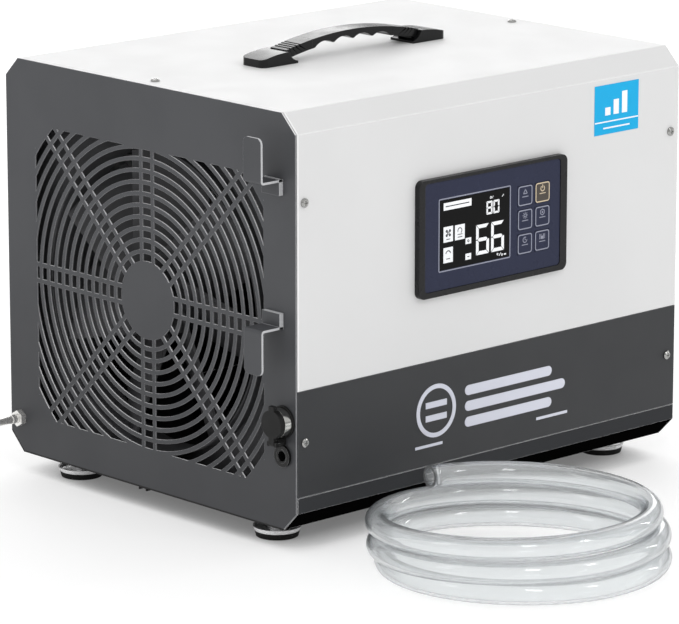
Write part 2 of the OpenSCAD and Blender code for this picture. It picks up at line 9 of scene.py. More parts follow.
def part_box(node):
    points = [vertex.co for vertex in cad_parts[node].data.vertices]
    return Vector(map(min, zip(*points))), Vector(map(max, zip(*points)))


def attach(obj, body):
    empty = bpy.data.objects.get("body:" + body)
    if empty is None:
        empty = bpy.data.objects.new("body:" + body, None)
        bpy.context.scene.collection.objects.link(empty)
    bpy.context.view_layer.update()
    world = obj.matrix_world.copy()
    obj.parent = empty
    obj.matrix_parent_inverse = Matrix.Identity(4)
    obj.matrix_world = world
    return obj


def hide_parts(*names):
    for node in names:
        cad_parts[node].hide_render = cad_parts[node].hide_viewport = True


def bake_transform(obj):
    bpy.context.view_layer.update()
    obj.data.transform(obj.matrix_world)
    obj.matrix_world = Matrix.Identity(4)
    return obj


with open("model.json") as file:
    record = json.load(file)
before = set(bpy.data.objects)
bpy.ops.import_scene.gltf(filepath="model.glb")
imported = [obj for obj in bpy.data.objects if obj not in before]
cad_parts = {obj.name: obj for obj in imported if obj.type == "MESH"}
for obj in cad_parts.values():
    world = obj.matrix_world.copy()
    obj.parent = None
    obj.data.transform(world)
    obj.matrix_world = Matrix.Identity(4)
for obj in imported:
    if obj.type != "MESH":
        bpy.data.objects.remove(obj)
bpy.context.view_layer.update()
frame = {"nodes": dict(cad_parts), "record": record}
scene = bpy.context.scene
MM = 0.001

pan_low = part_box("base_pan")[0]
cover_low, cover_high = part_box("top_cover")
plate_low, plate_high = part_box("fan_guard_plate")
BODY_HEIGHT = cover_high.z - pan_low.z
BEVEL_LEG = 16 * MM  # each side of the cabinet's cut corners


# ---- camera ---------------------------------------------------------------

YAW, PITCH = math.radians(-43.059), math.radians(13.538)
LENS, SENSOR = 239.9, 36  # in millimetres
DISTANCE, SHIFT_RIGHT, SHIFT_UP = 11.4144, -0.011128, 0.32799  # in cabinet heights


def make_camera():
    back = Vector((math.sin(YAW) * math.cos(PITCH), -math.cos(YAW) * math.cos(PITCH),
                   math.sin(PITCH)))
    right = (-back).cross(Vector((0, 0, 1))).normalized()
    up = right.cross(-back)
    data = bpy.data.cameras.new("camera")
    data.lens, data.sensor_width = LENS, SENSOR
    data.clip_start, data.clip_end = 0.1, 100
    camera = bpy.data.objects.new("camera", data)
    scene.collection.objects.link(camera)
    place = BODY_HEIGHT * (right * SHIFT_RIGHT + up * SHIFT_UP + back * DISTANCE)
    place.z += pan_low.z
    turn = Matrix((right, up, back)).transposed().to_4x4()
    camera.matrix_world = Matrix.Translation(place) @ turn
    scene.camera = camera


make_camera()


# ---- materials ------------------------------------------------------------


def srgb(*values):
    """A colour given as display values from 0 to 255, in linear light."""
    def linear(v):
        v /= 255
        return v / 12.92 if v <= 0.04045 else ((v + 0.055) / 1.055) ** 2.4
    return tuple(linear(v) for v in values)


def shade(color, factor):
    return tuple(min(1, c * factor) for c in color)


SPECULAR = "Specular IOR Level"
NOISE_SPREAD = (0.3, 0.7)  # most values of a noise texture lie between these
RIM_FADE = 0.7  # share of a rim's width that has its full colour
# The skirts' colour is the plate's paint made darker: painted shade.
PLATE, SHADED_SKIRT, SHEET_EDGE_HIGHLIGHT = srgb(75, 76, 79), srgb(54, 55, 57), srgb(190, 191, 194)
# The third colour is a painted highlight for the sheets' edges.
POWDER = (0.9 * MM, 0.03 * MM)  # size and depth of the orange peel
# How strongly an edge is lightened, by rubbing on some plastics and as a painted highlight on the
# sheets, creases, pan and gland, the product of the plain and the rounded normal at which this
# starts and is full, and how much of it stays in the least lightened places.
LIGHT_WEAR = (0.35, (0.99, 0.8), 0.35)
PLASTIC_WEAR_AND_HIGHLIGHT = (0.4, (0.99, 0.8), 0.35)
SHEET_HIGHLIGHT = (0.6, (0.98, 0.8), 0.6)
CREASE_HIGHLIGHT = (1.0, (0.992, 0.94), 0.9)
PAN_EDGE_HIGHLIGHT = (1.0, (0.9, 0.8), 0.85)


class Graph:
    """A material's nodes, built up from its Principled shader."""

    def __init__(self, name, color, rough, metal=0.0, **sockets):
        self.material = bpy.data.materials.new(name)
        self.material.use_nodes = True
        self.tree = self.material.node_tree
        self.shader = self.tree.nodes["Principled BSDF"]
        self.color, self.rough = tuple(color), rough
        self.shader.inputs["Base Color"].default_value = (*color, 1)
        self.shader.inputs["Roughness"].default_value = rough
        self.shader.inputs["Metallic"].default_value = metal
        for key, value in sockets.items():
            self.shader.inputs[key].default_value = value
        self.place = self.add("ShaderNodeTexCoord").outputs["Object"]
        self.normal = None

    def add(self, kind, inputs=(), **props):
        node = self.tree.nodes.new(kind)
        for key, value in props.items():
            setattr(node, key, value)
        for key, value in dict(inputs).items():
            if isinstance(value, bpy.types.NodeSocket):
                self.tree.links.new(value, node.inputs[key])
            else:
                node.inputs[key].default_value = value
        return node

    def link(self, value, socket):
        self.tree.links.new(value, self.shader.inputs[socket])

    def math(self, operation, a, b=0.0):
        return self.add("ShaderNodeMath", {0: a, 1: b}, operation=operation).outputs[0]

    def xyz(self, vector=None):
        """The three parts of a vector, or else of the place on the object."""
        vector = self.place if vector is None else vector
        return self.add("ShaderNodeSeparateXYZ", {0: vector}).outputs

    def geometry(self, output):
        return self.add("ShaderNodeNewGeometry").outputs[output]

    def noise(self, scale, detail=2.0, stretch=None):
        place = self.place
        if stretch:
            place = self.add("ShaderNodeMapping", {"Vector": place, "Scale": stretch}).outputs[0]
        inputs = {"Vector": place, "Scale": scale, "Detail": detail}
        return self.add("ShaderNodeTexNoise", inputs).outputs["Fac"]

    def waves(self, axis, scale, distortion, detail):
        inputs = {"Vector": self.place, "Scale": scale, "Distortion": distortion,
                  "Detail": detail}
        return self.add("ShaderNodeTexWave", inputs, bands_direction=axis).outputs["Fac"]

    def ramp(self, value, low, high, to_low=0.0, to_high=1.0):
        node = self.add("ShaderNodeMapRange", {"Value": value, "From Min": low, "From Max": high,
                                               "To Min": to_low, "To Max": to_high})
        node.interpolation_type = "SMOOTHSTEP"
        return node.outputs[0]

    def mix(self, amount, a, b):
        """Mixes two colours, each a tuple or a socket."""
        a, b = [c if isinstance(c, bpy.types.NodeSocket) else (*c, 1) for c in (a, b)]
        return self.add("ShaderNodeMix", {0: amount, 6: a, 7: b}, data_type="RGBA").outputs[2]

    def tone(self, amount, scale, detail=3.0):
        """Uneven colour, lighter and darker by amount."""
        spread = self.ramp(self.noise(scale, detail), *NOISE_SPREAD)
        self.color = self.mix(spread, shade(self.color, 1 - amount), shade(self.color, 1 + amount))

    def gloss(self, amount, scale, detail=3.0, stretch=None):
        """Uneven roughness."""
        value = self.ramp(self.noise(scale, detail, stretch), *NOISE_SPREAD,
                          max(0.02, self.rough - amount), min(1, self.rough + amount))
        self.link(value, "Roughness")

    def bump(self, height, distance):
        inputs = {"Height": height, "Distance": distance}
        if self.normal:
            inputs["Normal"] = self.normal
        self.normal = self.add("ShaderNodeBump", inputs).outputs[0]

    def grain(self, size, depth, detail=2.0, stretch=None):
        """Fine relief whose bumps are about size across and depth deep."""
        self.bump(self.noise(1 / size, detail, stretch), depth)

    def paint_slot_wall_light(self, within, side_wall_light, up_wall_highlight):
        """Colours the walls of a plate's openings, up to the given x, with painted light.

        Walls that face sideways and down take a dimmer painted light, and those that face up a
        brighter painted highlight.
        """
        along, _, up = self.xyz(self.geometry("True Normal"))
        walls = self.ramp(self.math("ABSOLUTE", along), 0.5, 0.3)
        near = self.math("LESS_THAN", self.xyz()[0], within)
        self.color = self.mix(self.math("MULTIPLY", walls, near), self.color,
                              self.mix(self.ramp(up, 0.05, 0.6), side_wall_light, up_wall_highlight))

    def paint_shade_rim(self, low, high, leg, width):
        """Paints a near-black strip of shade along a plate's lower edge and the bevel at its rear
        corner.
        """
        _, y, z = self.xyz()
        above = self.math("SUBTRACT", z, low.z)
        inward = self.math("SUBTRACT", high.y, y)
        beyond = self.math("SUBTRACT", self.math("ADD", above, inward), leg)
        nearest = self.math("MINIMUM", above, self.math("MULTIPLY", beyond, math.sqrt(0.5)))
        self.color = self.mix(self.ramp(nearest, width, width * RIM_FADE), self.color,
                              (0.003, 0.003, 0.003))

    def paint_edge_highlight(self, start, width):
        """Whitens the paint along the sheet's edge that starts at the given x: a painted highlight.
        """
        near = self.ramp(self.xyz()[0], start + width, start + width * RIM_FADE)
        self.color = self.mix(near, self.color, (0.98, 0.98, 0.98))

    def paint_shade_down(self, low, reach, amount):
        """Paints shade: the colour grows deeper towards the height low, over the given reach."""
        fade = self.ramp(self.xyz()[2], low, low + reach, amount, 0)
        self.color = self.mix(fade, self.color, (0.012, 0.012, 0.013))

    def edges(self, radius, wear_and_highlight=None, amount=0.0, reach=(0.99, 0.8), patches=0.0):
        """Rounds the edges' shading, and lightens them towards the given colour: rubbing on the
        handle, cap and bezel, a painted highlight on the gland, the sheets, the cover's creases and
        the pan.
        """
        inputs = {"Radius": radius}
        if self.normal:
            inputs["Normal"] = self.normal
        self.normal = self.add("ShaderNodeBevel", inputs, samples=4).outputs[0]
        if wear_and_highlight:
            bent = self.add("ShaderNodeBevel", {"Radius": radius}, samples=4).outputs[0]
            turn = self.add("ShaderNodeVectorMath", {0: self.geometry("Normal"), 1: bent},
                            operation="DOT_PRODUCT").outputs["Value"]
            rub_and_highlight = self.ramp(turn, *reach, 0, amount)
            patchy = self.ramp(self.noise(260, 3), 0.35, 0.6, patches, 1)
            self.color = self.mix(self.math("MULTIPLY", rub_and_highlight, patchy), self.color, wear_and_highlight)

    def done(self):
        if isinstance(self.color, bpy.types.NodeSocket):
            self.link(self.color, "Base Color")
        if self.normal:
            self.link(self.normal, "Normal")
        return self.material


def coat(name, color, rough, tone=0.03, **sockets):
    """The start of every sprayed coat: a little uneven in colour and gloss."""
    g = Graph(name, color, rough, **sockets)
    g.tone(tone, 9)
    g.gloss(0.06, 30)
    return g


def paint(name, color, rough, grain=(1.6 * MM, 0.02 * MM), edge=0.8 * MM, wear_and_highlight=None,
          rub_and_highlight=LIGHT_WEAR, **sockets):
    """Powder coat: fine orange peel, and edges lightened towards a given colour, which on the sheets
    is a painted highlight.
    """
    g = coat(name, color, rough, **sockets)
    g.grain(*grain)
    g.edges(edge, wear_and_highlight, *rub_and_highlight)
    return g.done()


def plastic(name, color, rough, grain=(0.6 * MM, 0.012 * MM), edge=0.6 * MM, wear_and_highlight=None, tone=0.05,
            **sockets):
    """Moulded plastic, rubber or print, with a fine grain."""
    g = Graph(name, color, rough, **sockets)
    g.tone(tone, 24)
    g.gloss(0.07, 55)
    g.grain(*grain)
    g.edges(edge, wear_and_highlight, *PLASTIC_WEAR_AND_HIGHLIGHT)
    return g.done()


def metal(name, color, rough, stretch=None, edge=0.3 * MM, depth=0.0015 * MM, amount=1.0):
    """Plated or drawn metal, with fine marks that follow stretch."""
    g = Graph(name, color, rough, metal=amount)
    g.tone(0.05, 60)
    g.gloss(0.06, 180, 3, stretch)
    g.grain(0.7 * MM, depth, 3, stretch)
    g.edges(edge)
    return g.done()


def make_cover_paint():
    """White powder coat, with a painted highlight along its creases and along its edge at the
    outlet.
    """
    white = (0.98, 0.98, 0.98)
    g = coat("white_powder_coat", (0.76, 0.76, 0.76), 0.45, tone=0.012, **{SPECULAR: 0.08})
    g.paint_edge_highlight(cover_low.x, 1.7 * MM)
    g.grain(1.6 * MM, 0.02 * MM)
    g.edges(1.6 * MM, white, *CREASE_HIGHLIGHT)
    return g.done()


def make_guard_paint():
    """The outlet plate's coat: painted shade towards the floor, pale painted light on its slot
    walls, painted highlights on its edges and a black painted shadow along its foot.
    """
    sheet_shows, rim = 1.25 * MM, 1.7 * MM
    g = coat("guard_powder_coat", PLATE, 0.42, **{SPECULAR: 0.25})
    g.paint_shade_down(plate_low.z, 260 * MM, 0.34)
    g.paint_slot_wall_light(plate_low.x + sheet_shows, srgb(134, 135, 137), (0.95, 0.95, 0.96))
    g.grain(*POWDER)
    g.edges(0.8 * MM, SHEET_EDGE_HIGHLIGHT, *SHEET_HIGHLIGHT)
    g.paint_shade_rim(plate_low, plate_high, BEVEL_LEG, rim)
    return g.done()


def make_pan_paint():
    """The base pan's coat, with near-black painted shade on the faces that look down and a painted
    highlight along its top edge.
    """
    g = coat("pan_paint", srgb(60, 61, 63), 0.42, **{SPECULAR: 0.0})
    g.grain(*POWDER)
    facing = g.xyz(g.geometry("Normal"))[2]
    # Painted shade on the faces that look down.
    g.color = g.mix(g.ramp(facing, -0.2, -0.6), g.color, (0.0015, 0.0015, 0.0015))
    g.edges(1.5 * MM, (0.95, 0.95, 0.96), *PAN_EDGE_HIGHLIGHT)
    return g.done()


def make_filter_cloth():
    """A woven filter: two crossed sets of threads."""
    g = Graph("filter_weave", (0.55, 0.57, 0.6), 0.85, **{"Sheen Weight": 0.3})
    threads = g.math("MULTIPLY", *[g.waves(axis, 260, 0.6, 1) for axis in ("Y", "Z")])
    g.color = g.mix(threads, (0.3, 0.31, 0.33), (0.66, 0.68, 0.7))
    g.gloss(0.08, 90)
    g.bump(threads, 0.3 * MM)
    return g.done()


def make_fins():
    """Thin aluminium fins, a little bent, with dark bands of painted shade where the gaps between
    them lie.
    """
    g = Graph("fin_metal", (0.62, 0.63, 0.65), 0.38, metal=1.0)
    fin_gap_bands = g.waves("Y", 320, 1.5, 2)
    g.color = g.mix(fin_gap_bands, (0.28, 0.28, 0.3), (0.7, 0.71, 0.73))
    g.gloss(0.1, 40)
    g.bump(fin_gap_bands, 0.4 * MM)
    return g.done()


def make_board():
    """A printed board: darker tracks under a green lacquer."""
    g = Graph("board_lacquer", (0.02, 0.13, 0.05), 0.3)
    cells = g.add("ShaderNodeTexVoronoi", {"Vector": g.place, "Scale": 220},
                  distance="MANHATTAN").outputs["Distance"]
    g.color = g.mix(g.ramp(cells, 0.25, 0.3), (0.01, 0.07, 0.03), (0.03, 0.2, 0.08))
    g.gloss(0.08, 60)
    g.bump(cells, 0.05 * MM)
    return g.done()


def make_vinyl():
    """Clear vinyl, darker where it is seen along its wall, with broad waves from drawing."""
    g = Graph("clear_vinyl", (0.87, 0.885, 0.89), 0.02,
              **{"IOR": 1.45, "Transmission Weight": 0.88})
    grazing = g.add("ShaderNodeLayerWeight", {"Blend": 0.5}).outputs["Facing"]
    g.color = g.mix(g.ramp(grazing, 0.45, 0.95), g.color, (0.24, 0.26, 0.28))
    g.gloss(0.01, 50)
    g.grain(30 * MM, 0.04 * MM, 1)
    return g.done()


MATERIALS = {
    "cover_white": make_cover_paint(),
    # Its edges are lightened: a painted highlight.
    "sheet_dark": paint("dark_powder_coat", PLATE, 0.42, POWDER, 0.8 * MM, SHEET_EDGE_HIGHLIGHT, SHEET_HIGHLIGHT,
                        **{SPECULAR: 0.25}),
    "pan_black": paint("black_paint", srgb(28, 28, 29), 0.5, POWDER, **{SPECULAR: 0.2}),
    "handle_black": plastic("moulded_black", srgb(14, 14, 15), 0.2, edge=0.9 * MM,
                            wear_and_highlight=srgb(50, 50, 52), **{SPECULAR: 0.3}),
    "screw_plate": metal("zinc_plate", (0.36, 0.36, 0.35), 0.16),
    "spigot_steel": metal("turned_steel", (0.85, 0.84, 0.82), 0.26, (1, 12, 12), amount=0.75),
    "socket_nickel": metal("nickel_plate", (0.5, 0.5, 0.48), 0.14),
    "foot_chrome": metal("spun_chrome", (0.9, 0.9, 0.91), 0.24, (1, 1, 9), 0.5 * MM,
                         0.0006 * MM, 0.5),
    "foot_rubber": plastic("pad_rubber", srgb(24, 24, 24), 0.7, (1.2 * MM, 0.04 * MM), tone=0.12,
                           **{SPECULAR: 0.15}),
    "cap_rubber": plastic("cap_rubber", srgb(26, 26, 26), 0.5, (1 * MM, 0.03 * MM),
                          wear_and_highlight=srgb(70, 70, 70), **{SPECULAR: 0.2}),
    # Its edges are whitened: a painted highlight ring.
    "gland_black": plastic("gland_nylon", srgb(20, 20, 20), 0.3, wear_and_highlight=(0.75, 0.75, 0.75),
                           **{SPECULAR: 0.25}),
    "bezel_black": plastic("bezel_plastic", srgb(30, 30, 31), 0.3, wear_and_highlight=srgb(85, 85, 87),
                           **{SPECULAR: 0.2}),
    "film_blue": plastic("printed_film", srgb(45, 49, 70), 0.3, (1.1 * MM, 0.008 * MM), 0.3 * MM,
                         tone=0.03, **{SPECULAR: 0.12}),
    "display_black": plastic("display_window", (0.0015, 0.0015, 0.0016), 0.1,
                             (3 * MM, 0.002 * MM), 0.2 * MM, **{SPECULAR: 0.1}),
    "board_green": make_board(),
    "label_blue": plastic("label_vinyl", srgb(14, 176, 232), 0.36, (2 * MM, 0.01 * MM), 0.2 * MM,
                          tone=0.02, **{SPECULAR: 0.2}),
    "emblem_silver": paint("silver_print", srgb(216, 218, 230), 0.38, (1.2 * MM, 0.01 * MM),
                           0.2 * MM),
    "fan_black": plastic("fan_nylon", srgb(72, 72, 74), 0.45, tone=0.1, **{SPECULAR: 0.25}),
    "motor_black": paint("motor_enamel", srgb(38, 38, 40), 0.4, POWDER),
    "bracket_zinc": metal("bracket_zinc", (0.4, 0.4, 0.41), 0.38),
    "compressor_black": paint("compressor_enamel", srgb(30, 30, 30), 0.35, POWDER),
    "coil_fins": make_fins(),
    "line_copper": metal("drawn_copper", (0.72, 0.36, 0.2), 0.3),
    "tray_plastic": plastic("tray_plastic", srgb(60, 60, 62), 0.5, tone=0.08),
    "tube_pvc": plastic("pale_tube", (0.6, 0.6, 0.6), 0.3),
    "filter_black": plastic("filter_plastic", srgb(42, 42, 43), 0.5, tone=0.08),
    "filter_cloth": make_filter_cloth(),
    "hose_clear": make_vinyl(),
}
INNER_PAINT = paint("inner_paint", srgb(76, 76, 78), 0.6, POWDER, **{SPECULAR: 0.2})
OTHER_FINISH = {
    "base_pan": make_pan_paint(), "fan_guard_plate": make_guard_paint(),
    "fan_shroud": INNER_PAINT, "control_box": INNER_PAINT,
    "gland_sleeve": MATERIALS["gland_black"],
    # The plate's paint, darker as painted shade, with painted highlights on its edges.
    "lower_skirts": paint("shaded_skirt_powder_coat", SHADED_SKIRT, 0.4, POWDER, 0.7 * MM, SHEET_EDGE_HIGHLIGHT, SHEET_HIGHLIGHT,
                          **{SPECULAR: 0.25}),
}
# A pale grey for the hooks' cut faces: a painted highlight.
CUT_EDGE_HIGHLIGHT = paint("cut_edge_highlight", srgb(200, 201, 203), 0.4, POWDER, 0.4 * MM)
PRINT_EDGE = 0.05 * MM
MARK_WHITE = plastic("lit_white", (0.9, 0.91, 0.93), 0.5, edge=PRINT_EDGE,
                     **{"Emission Color": (0.9, 0.95, 1, 1), "Emission Strength": 0.12})
MARK_GREY = plastic("print_grey", srgb(146, 149, 166), 0.45, edge=PRINT_EDGE)
MARK_GOLD = plastic("print_gold", srgb(214, 196, 166), 0.45, edge=PRINT_EDGE)
MARK_BROWN = plastic("print_brown", srgb(66, 58, 50), 0.45, edge=PRINT_EDGE)
MARK_DARK = plastic("print_dark", srgb(60, 62, 66), 0.5, edge=PRINT_EDGE)


# ---- pieces ---------------------------------------------------------------


def add_piece(name, points, faces, material, body, smooth=()):
    """A mesh piece that rides on a body, if one is given. Faces listed in smooth shade smooth."""
    mesh = bpy.data.meshes.new(name)
    mesh.from_pydata([tuple(p) for p in points], [], faces)
    mesh.validate()
    mesh.update()
    mesh.materials.append(material)
    for i in smooth:
        mesh.polygons[i].use_smooth = True
    piece = bpy.data.objects.new(name, mesh)
    scene.collection.objects.link(piece)
    if body:
        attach(piece, body)
    return piece


def bar_faces(first, cuts):
    """The faces of a closed bar that has four points at each cut. Its two ends come last."""
    faces = []
    for a in range(first, first + 4 * (cuts - 1), 4):
        b = a + 4
        faces += [(a, b, b + 2, a + 2), (a + 1, a + 3, b + 3, b + 1),
                  (a, a + 1, b + 1, b), (a + 2, b + 2, b + 3, a + 3)]
    last = first + 4 * (cuts - 1)
    return faces + [(first, first + 2, first + 3, first + 1), (last, last + 1, last + 3, last + 2)]


def soften(piece, width, segments=2, angle=32):
    """Rounds a piece's sharp edges."""
    bevel = piece.modifiers.new("soft_edges", "BEVEL")
    bevel.width, bevel.segments = width, segments
    bevel.limit_method, bevel.angle_limit = "ANGLE", math.radians(angle)


# ---- drain hose -----------------------------------------------------------

HOSE_D, HOSE_BORE = 18.5 * MM, 13.4 * MM
HOSE_TURNS, HOSE_FLAT, HOSE_PITCH = 2.875, 0.35, 18.5 * MM
HOSE_START = math.radians(-950)
SQUEEZE_TOWARDS, SQUEEZE = math.radians(46.94), 0.87
BULGE, TIGHTEN = 5.5, 0.9  # millimetres wider half way along, and tighter with each turn
DRIFT, DRIFT_FROM = (-1.8 * MM, 1.6 * MM), 1.45  # for each turn past the one that stays central
HOSE_SIDES = 40
STEPS_PER_TURN = 64


def hose_route():
    """Nearly three turns on top of one another, pressed together across one direction."""
    low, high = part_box("drain_hose_coil")
    middle = (low + high) / 2
    least = (high.x - low.x) / 2 - HOSE_D
    cos, sin = math.cos(SQUEEZE_TOWARDS), math.sin(SQUEEZE_TOWARDS)
    count = round(HOSE_TURNS * STEPS_PER_TURN)
    points = []
    for i in range(count + 1):
        turn = HOSE_TURNS * i / count
        angle = HOSE_START + math.tau * turn - SQUEEZE_TOWARDS
        radius = least + MM * (BULGE * math.sin(math.pi * turn / HOSE_TURNS) - TIGHTEN * turn)
        along = radius * math.cos(angle) * SQUEEZE
        across = radius * math.sin(angle)
        points.append(Vector((
            middle.x + along * cos - across * sin + DRIFT[0] * (turn - DRIFT_FROM),
            middle.y + along * sin + across * cos + DRIFT[1] * (turn - DRIFT_FROM),
            low.z + HOSE_D / 2 + HOSE_PITCH * max(0, turn - HOSE_FLAT))))
    return points


def tube_rings(route, radii, sides):
    """Rings of points along a route, one per radius at each point, without twist."""
    across = Vector((0, 0, 1))
    rings = []
    for i, p in enumerate(route):
        along = (route[min(i + 1, len(route) - 1)] - route[max(i - 1, 0)]).normalized()
        across = (across - along * across.dot(along)).normalized()
        side = along.cross(across)
        rings.append([[p + r * (math.cos(a) * across + math.sin(a) * side)
                       for a in (math.tau * k / sides for k in range(sides))] for r in radii])
    return rings


def make_drain_hose():
    """An open tube with an outer and an inner wall along the route."""
    route = hose_route()
    rings = tube_rings(route, (HOSE_D / 2, HOSE_BORE / 2), HOSE_SIDES)
    points = [p for pair in rings for ring in pair for p in ring]
    faces = []
    last = len(route) - 1

    def at(i, wall, k):
        return (2 * i + wall) * HOSE_SIDES + k % HOSE_SIDES

    for i in range(last):
        for k in range(HOSE_SIDES):
            faces.append((at(i, 0, k), at(i, 0, k + 1), at(i + 1, 0, k + 1), at(i + 1, 0, k)))
            faces.append((at(i, 1, k + 1), at(i, 1, k), at(i + 1, 1, k), at(i + 1, 1, k + 1)))
    walls = range(len(faces))
    for i, order in ((0, 1), (last, -1)):
        for k in range(HOSE_SIDES):
            end = (at(i, 0, k), at(i, 0, k + 1), at(i, 1, k + 1), at(i, 1, k))
            faces.append(end[::order])
    hose = add_piece("drain_hose", points, faces, MATERIALS["hose_clear"], "loose_hose",
                     walls)
    hose.visible_shadow = False
    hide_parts("drain_hose_coil")


make_drain_hose()


# ---- cord hooks -----------------------------------------------------------


def filleted(corners, radius, steps=6):
    """A flat path (x, z) with each inner corner rounded."""
    path = [Vector(corners[0])]
    for a, b, c in zip(corners, corners[1:], corners[2:]):
        a, b, c = Vector(a), Vector(b), Vector(c)
        u, w = (a - b).normalized(), (c - b).normalized()
        centre = b + (u + w) * radius
        for i in range(steps + 1):
            t = math.pi / 2 * i / steps
            path.append(centre - w * radius * math.cos(t) - u * radius * math.sin(t))
    path.append(Vector(corners[-1]))
    return path


def make_hook(name, node, up):
    """A bracket with a thick foot, bent from a strip, with a rounded end on its finger."""
    low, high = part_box(node)
    sheet, bend, end_radius, steps = 2 * MM, 1.9 * MM, 5 * MM, 8
    foot_t, foot_h, into_foot = 4.2 * MM, 13 * MM, 0.5 * MM
    half = (high.y - low.y) / 2
    middle = (high.y + low.y) / 2
    root, tip, sign = (low.z, high.z, 1) if up else (high.z, low.z, -1)
    shelf = root + sign * foot_h
    shelf_middle, finger_middle = shelf - sign * sheet / 2, low.x + sheet / 2
    path = filleted([(high.x - into_foot, shelf_middle), (finger_middle, shelf_middle),
                     (finger_middle, tip - sign * end_radius)], bend)
    widths = [half] * len(path)
    for i in range(1, steps + 1):
        t = math.pi / 2 * i / steps
        path.append(Vector((finger_middle, tip - sign * end_radius * (1 - math.sin(t)))))
        widths.append(half - end_radius * (1 - math.cos(t)))
    points = []
    for i, (p, w) in enumerate(zip(path, widths)):
        along = (path[min(i + 1, len(path) - 1)] - path[max(i - 1, 0)]).normalized()
        off = Vector((-along.y, along.x)) * sheet / 2
        points += [(q.x, middle + s * w, q.y) for q in (p + off, p - off) for s in (-1, 1)]
    faces = bar_faces(0, len(path))
    cut_faces = {i for i in range(len(faces) - 2) if i % 4 < 2} | {len(faces) - 1}
    if not up:
        faces = [f[::-1] for f in faces]
    base = len(points)
    points += [(x, middle + s * half, z) for x in (high.x - foot_t, high.x) for s in (-1, 1)
               for z in sorted((root, shelf))]
    cut_faces |= set(range(len(faces) + 2, len(faces) + 6))
    faces += [tuple(base + k for k in face) for face in
              ((0, 1, 3, 2), (4, 6, 7, 5), (0, 4, 5, 1), (2, 3, 7, 6), (0, 2, 6, 4), (1, 5, 7, 3))]
    hook = add_piece(name, points, faces, MATERIALS["sheet_dark"], "cabinet")
    # The cut faces take the pale grey, a painted highlight.
    hook.data.materials.append(CUT_EDGE_HIGHLIGHT)
    for i in cut_faces:
        hook.data.polygons[i].material_index = 1
    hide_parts(node)
    soften(hook, 0.35 * MM, angle=50)


make_hook("hook_strip_upper", "cord_hook_upper", True)
make_hook("hook_strip_lower", "cord_hook_lower", False)


# ---- ribbed ends of the handle's strap ------------------------------------


def make_strap_end(name, node, side):
    """The strap between a grip and its cap: grooved on top, rounded where it enters the cap.

    Lengths are in millimetres from the middle of the grip and from the lid. A flat tongue lies
    in the cap.
    """
    low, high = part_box(node)
    grip_low, grip_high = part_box("handle_grip")
    middle, lid = (grip_low.x + grip_high.x) / 2, cover_high.z
    half, rise, thick, sag = (high.y - low.y) / 2, 20.4, 7.8, 640
    grooves, groove_half, groove_depth = (61, 64.7, 68.4, 72.1), 0.75, 1.7
    start, under_end = 46, 73.2
    nose_x, nose_z, nose_radius = 64.5, 14.5, 12.1
    tongue_start, tongue_step, tongue_cuts, tongue_half = 70, 3, 9, 8 * MM
    points = []

    def place(x, z, y):
        points.append((middle + side * x * MM, y, lid + z * MM))

    def top_at(x):
        dip = max(max(0, 1 - ((x - g) / groove_half) ** 4) for g in grooves)
        return rise - x * x / sag - groove_depth * dip

    cuts = [start + 1.5 * i for i in range(10)] + [60 + 0.25 * i for i in range(57)] + [75.2, 76.0]
    profile = [(x, top_at(x)) for x in cuts]
    for i in range(1, 8):
        a = math.radians(-14 - 30 * i / 8)
        profile.append((nose_x + nose_radius * math.cos(a), nose_z + nose_radius * math.sin(a)))
    count = len(profile)
    for i, (x, z) in enumerate(profile):
        u = start + (under_end - start) * i / (count - 1)
        for y in (-half, half):
            place(x, z, y)
            place(u, rise - thick - u * u / sag, y)
    base = len(points)
    for i in range(tongue_cuts):
        for y in (-tongue_half, tongue_half):
            for z in (5.2, 3.4):
                place(tongue_start + tongue_step * i, z, y)
    faces = bar_faces(0, count) + bar_faces(base, tongue_cuts)
    if side < 0:
        faces = [f[::-1] for f in faces]
    strap = add_piece(name, points, faces, MATERIALS["handle_black"], None)
    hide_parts(node)
    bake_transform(strap)


make_strap_end("strap_end_left", "handle_link_left", -1)
make_strap_end("strap_end_right", "handle_link_right", 1)


# ---- printed marks --------------------------------------------------------

# Every mark is a list of flat shapes, each a loop of (x, z) in millimetres.


def rect(x0, z0, x1, z1):
    return [[(x0, z0), (x1, z0), (x1, z1), (x0, z1)]]


def line(a, b, width):
    a, b = Vector(a), Vector(b)
    off = (b - a).normalized() * width / 2
    off = Vector((-off.y, off.x))
    return [[tuple(a - off), tuple(b - off), tuple(b + off), tuple(a + off)]]


def arc(x, z, inner, outer, start=0, end=360, steps=20):
    """A ring or a part of one, or a full disc when inner is 0."""
    if inner == 0 and end - start == 360:
        return [[(x + outer * math.cos(math.tau * i / steps),
                  z + outer * math.sin(math.tau * i / steps)) for i in range(steps)]]
    quads = []
    for i in range(steps):
        a, b = (math.radians(start + (end - start) * k / steps) for k in (i, i + 1))
        quads.append([(x + r * math.cos(t), z + r * math.sin(t)) for r, t in
                      ((inner, a), (outer, a), (outer, b), (inner, b))])
    return quads


def dot(x, z, inner, outer):
    """A small ring or disc."""
    return arc(x, z, inner, outer, steps=10)


def border(x0, z0, x1, z1, radius, width, steps=5):
    """A rounded outline of even width, drawn inside the given corners."""
    outer, inner = [], []
    for cx, cz, turn in ((x1 - radius, z1 - radius, 0), (x0 + radius, z1 - radius, 90),
                         (x0 + radius, z0 + radius, 180), (x1 - radius, z0 + radius, 270)):
        for i in range(steps + 1):
            a = math.radians(turn + 90 * i / steps)
            outer.append((cx + radius * math.cos(a), cz + radius * math.sin(a)))
            inner.append((cx + (radius - width) * math.cos(a), cz + (radius - width) * math.sin(a)))
    n = len(outer)
    return [[outer[i], outer[(i + 1) % n], inner[(i + 1) % n], inner[i]] for i in range(n)]


